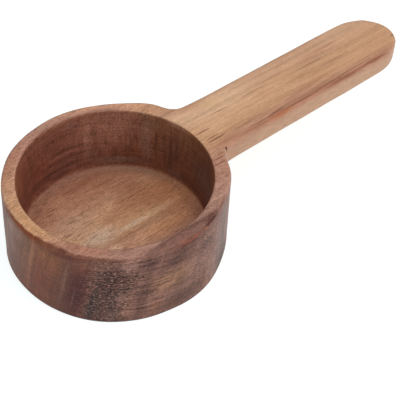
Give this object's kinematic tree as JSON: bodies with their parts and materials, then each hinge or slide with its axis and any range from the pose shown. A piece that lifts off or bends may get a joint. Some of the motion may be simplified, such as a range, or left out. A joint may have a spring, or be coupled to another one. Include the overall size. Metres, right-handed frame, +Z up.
{
  "type": "measuring spoon",
  "caption": "Wooden measuring spoon for dry goods: a round, flat-bottomed cup with a straight, flat handle that is level with its rim and rounded at the tip.",
  "frame": {"origin": "centre of the cup's flat underside, where the spoon stands", "axes": "+Z up, out of the cup's mouth; +X from the cup's axis along the handle to its tip; Y across the handle"},
  "size_m": [0.1347, 0.0594, 0.023],
  "materials": {
    "wood": "fine-sanded and oiled, satin, grain along the handle"
  },
  "bodies": {
    "root": {"spoon": "wood"}
  },
  "joints": []
}
